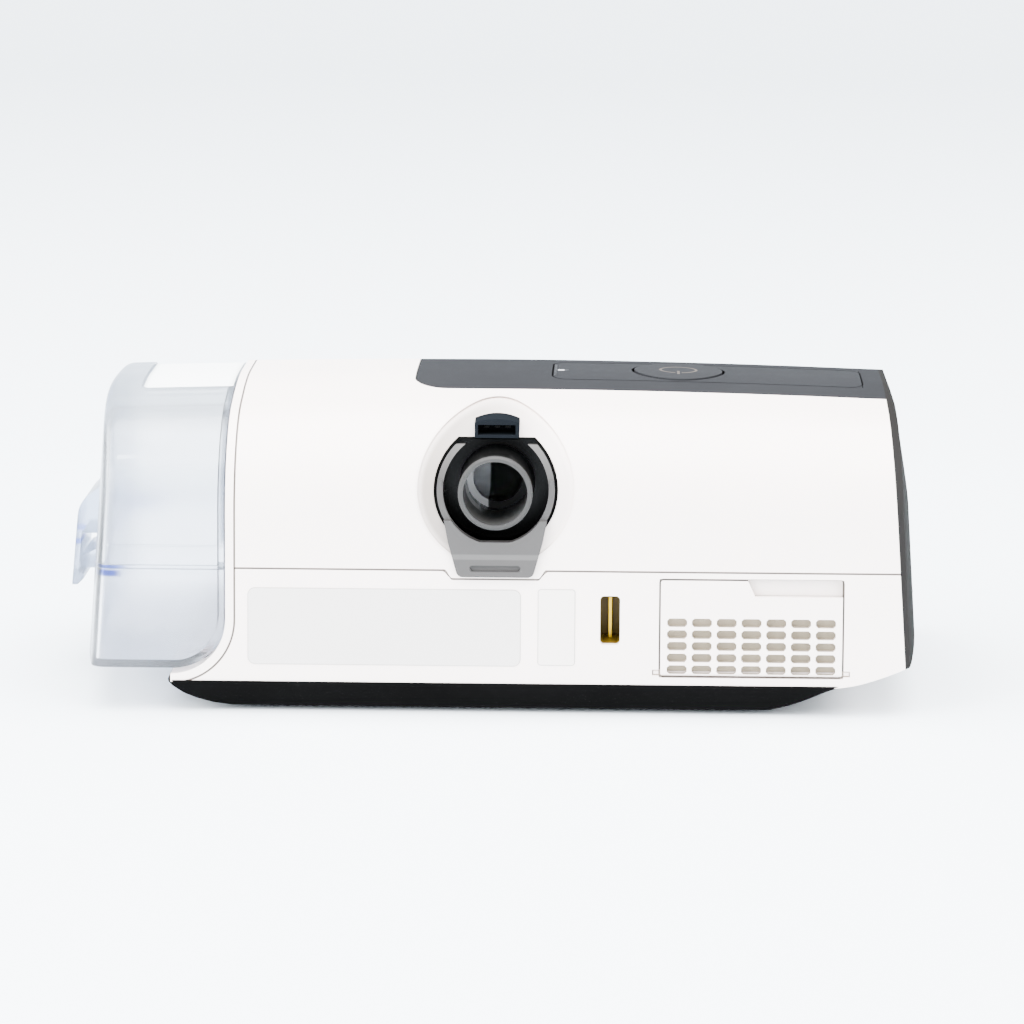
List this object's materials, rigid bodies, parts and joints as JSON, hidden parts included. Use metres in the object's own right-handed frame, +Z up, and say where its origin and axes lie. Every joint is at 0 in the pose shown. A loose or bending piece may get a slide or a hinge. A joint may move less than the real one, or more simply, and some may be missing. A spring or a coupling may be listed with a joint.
{
  "type": "bilevel pap machine",
  "caption": "Bedside bilevel airway pressure machine with a clear slide-out humidifier tub, a clipped air outlet, a hinged filter cover and a start button.",
  "frame": {"origin": "centre of the overall box at the table, under the rubber feet", "axes": "+X runs along the length away from the tub, +Y runs from the outlet side to the screen side, +Z is up"},
  "size_m": [0.2594, 0.1386, 0.0945],
  "materials": {
    "white_housing": "satin moulded white",
    "rim_white": "satin moulded white",
    "dark_panel": "fine textured charcoal",
    "dark_end": "fine textured warm grey",
    "fascia": "smooth satin charcoal",
    "light_guide": "translucent light grey",
    "screen_glass": "dark glass",
    "display": "black display",
    "inner_plastic": "moulded grey",
    "circuit_board": "green board",
    "rubber_grey": "soft grey rubber",
    "card": "dark blue card",
    "outlet_black": "glossy black",
    "outlet_grey": "grey with a lighter rim",
    "clip_grey": "light grey",
    "socket_slate": "dark slate",
    "contact_brass": "bright contact",
    "white_cover": "satin moulded white",
    "filter_cloth": "cream filter cloth",
    "foam": "grey foam",
    "inlet_yellow": "olive yellow",
    "heater_metal": "bare metal plate",
    "tub_clear": "clear, frosted in bands",
    "tub_metal": "plain metal",
    "duct_plastic": "moulded grey",
    "wheel_plastic": "moulded pale grey",
    "shaft_steel": "ground steel",
    "stator_iron": "laminated core with coils",
    "pan_black": "fine textured black",
    "foot_rubber": "black rubber"
  },
  "bodies": {
    "main": {"rear_housing": "white_housing", "lower_housing": "white_housing", "bay_frame": "rim_white", "wrap_panel": "dark_panel", "end_panel": "dark_end", "top_fascia": "fascia", "indicator_light": "light_guide", "screen_window": "screen_glass", "display_module": "display", "button_carrier": "inner_plastic", "card_slot": "inner_plastic", "filter_frame": "inner_plastic", "blower_base": "inner_plastic", "blower_cover": "inner_plastic", "switch_board": "circuit_board", "main_board": "circuit_board", "button_dome": "rubber_grey", "outlet_port_seal": "rubber_grey", "supply_port_seal": "rubber_grey", "blower_mount_1": "rubber_grey", "blower_mount_2": "rubber_grey", "blower_mount_3": "rubber_grey", "memory_card": "card", "outlet_socket": "outlet_black", "tube_power_socket": "socket_slate", "socket_contacts": "contact_brass", "power_contact": "contact_brass", "filter_pad": "filter_cloth", "intake_foam": "foam", "heater_pad": "foam", "power_inlet": "inlet_yellow", "heater_plate": "heater_metal", "delivery_duct": "duct_plastic", "outlet_duct": "duct_plastic", "flow_sensor": "duct_plastic", "motor_stator": "stator_iron", "base_pan": "pan_black", "foot_1": "foot_rubber", "foot_2": "foot_rubber", "foot_3": "foot_rubber", "foot_4": "foot_rubber"},
    "tub": {"tub_lid": "tub_clear", "tub_base": "tub_clear", "tub_seal": "rubber_grey", "tub_heat_plate": "tub_metal", "tub_hinge_pin": "tub_metal", "tub_air_guide": "tub_clear"},
    "outlet_connector": {"outlet_tube": "outlet_grey", "release_clip": "clip_grey"},
    "filter_door": {"filter_cover": "white_cover"},
    "start_button": {"start_button": "fascia"},
    "card_door": {"card_door": "dark_end"},
    "blower_rotor": {"impeller": "wheel_plastic", "motor_shaft": "shaft_steel"}
  },
  "joints": [
    {"name": "tub_slide", "type": "slide", "parent": "main", "child": "tub", "axis": [-1, 0, 0], "range_m": [0, 0.075]},
    {"name": "outlet_connector_pull", "type": "slide", "parent": "main", "child": "outlet_connector", "axis": [0, -1, 0], "range_m": [0, 0.03]},
    {"name": "filter_cover_hinge", "type": "hinge", "parent": "main", "child": "filter_door", "pos_m": [0.0783, -0.0664, 0.0134], "axis": [1, 0, 0], "range_deg": [0, 90]},
    {"name": "start_button_press", "type": "slide", "parent": "main", "child": "start_button", "axis": [0, 0, -1], "range_m": [0, 0.001], "stiffness_N_per_m": 800, "springref_m": -0.001},
    {"name": "card_door_hinge", "type": "hinge", "parent": "main", "child": "card_door", "pos_m": [0.12763, -0.011, 0.0306], "axis": [0.0303, 0.9995, 0], "range_deg": [0, 90]},
    {"name": "impeller_spin", "type": "hinge", "parent": "main", "child": "blower_rotor", "pos_m": [0.071, -0.008, 0.048], "axis": [0, 0, 1], "continuous": true}
  ]
}
